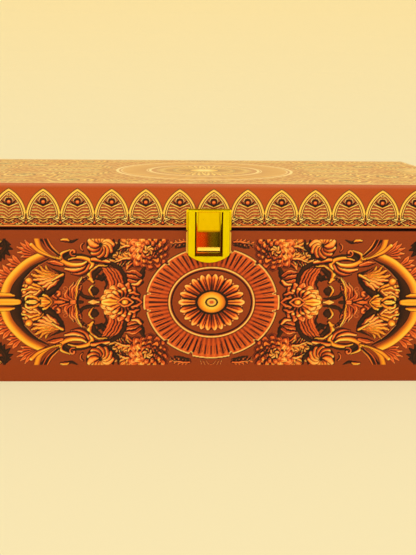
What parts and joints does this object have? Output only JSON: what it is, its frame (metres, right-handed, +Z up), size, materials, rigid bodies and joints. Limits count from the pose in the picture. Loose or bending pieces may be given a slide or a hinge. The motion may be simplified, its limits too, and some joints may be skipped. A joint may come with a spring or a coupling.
{
  "type": "dry fruit box",
  "caption": "Paper-covered board gift box with a divided tray, a lid on butt hinges and a swinging latch flap.",
  "frame": {"origin": "centre of the underside of the base", "axes": "+X to the right along the long front, +Y from the front to the back, +Z up"},
  "size_m": [0.254, 0.133, 0.0924],
  "materials": {
    "printed_base_wrap": "printed laminated paper, semi-gloss",
    "printed_lid_wrap": "printed laminated paper, semi-gloss",
    "printed_top": "printed laminated paper with metallic ink, gloss",
    "board": "raw medium density board",
    "lining_paper": "plain matt lining paper",
    "divider_card": "paper-covered board",
    "gilt_steel": "polished gold-coloured plating",
    "hinge_steel": "gold-coloured plating"
  },
  "bodies": {
    "base": {"base_front_wall": "board", "base_back_wall": "board", "base_left_wall": "board", "base_right_wall": "board", "base_floor_panel": "board", "underside_sheet": "lining_paper", "base_wrap": "printed_base_wrap", "base_lining": "lining_paper", "long_divider": "divider_card", "cross_divider": "divider_card", "latch_catch": "gilt_steel", "catch_nails": "gilt_steel", "hinge_left_base_leaf": "hinge_steel", "hinge_right_base_leaf": "hinge_steel", "hinge_left_pin": "hinge_steel", "hinge_right_pin": "hinge_steel", "hinge_base_screws": "hinge_steel"},
    "lid": {"lid_front_rail": "board", "lid_back_rail": "board", "lid_left_rail": "board", "lid_right_rail": "board", "lid_top_panel": "board", "lid_top_sheet": "printed_top", "lid_rim_wrap": "printed_lid_wrap", "lid_lining": "lining_paper", "latch_lid_plate": "gilt_steel", "lid_plate_nails": "gilt_steel", "latch_pin": "gilt_steel", "hinge_left_lid_leaf": "hinge_steel", "hinge_right_lid_leaf": "hinge_steel", "hinge_lid_screws": "hinge_steel"},
    "flap": {"latch_flap": "gilt_steel"}
  },
  "joints": [
    {"name": "lid_hinge", "type": "hinge", "parent": "base", "child": "lid", "pos_m": [0, 0.0653, 0.0715], "axis": [-1, 0, 0], "range_deg": [0, 180]},
    {"name": "latch_flap_hinge", "type": "hinge", "parent": "lid", "child": "flap", "pos_m": [0, -0.06515, 0.0803], "axis": [-1, 0, 0], "range_deg": [0, 170]}
  ]
}
